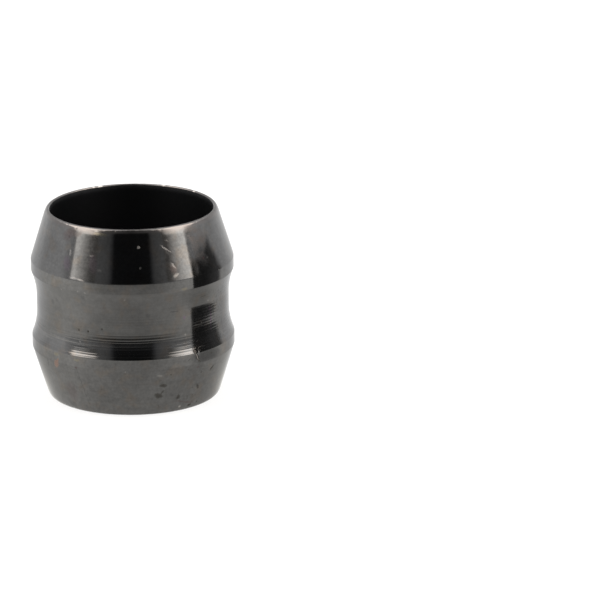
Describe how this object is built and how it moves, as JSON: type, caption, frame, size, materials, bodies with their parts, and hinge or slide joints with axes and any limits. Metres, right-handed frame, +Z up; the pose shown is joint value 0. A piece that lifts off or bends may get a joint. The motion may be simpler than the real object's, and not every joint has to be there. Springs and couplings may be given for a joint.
{
  "type": "brake hose olive",
  "caption": "Turned barrel-shaped compression sleeve with a through bore, a cone at each end and a waisted middle between two lands, crushed by a gland nut to seal a brake hose.",
  "frame": {"origin": "centre of the lower end face, on the axis of the bore", "axes": "+Z up along the bore axis; the sleeve is a body of revolution, so X and Y are free"},
  "size_m": [0.0064, 0.0064, 0.006],
  "materials": {
    "black_nickel": "satin"
  },
  "bodies": {
    "root": {"olive": "black_nickel"}
  },
  "joints": []
}
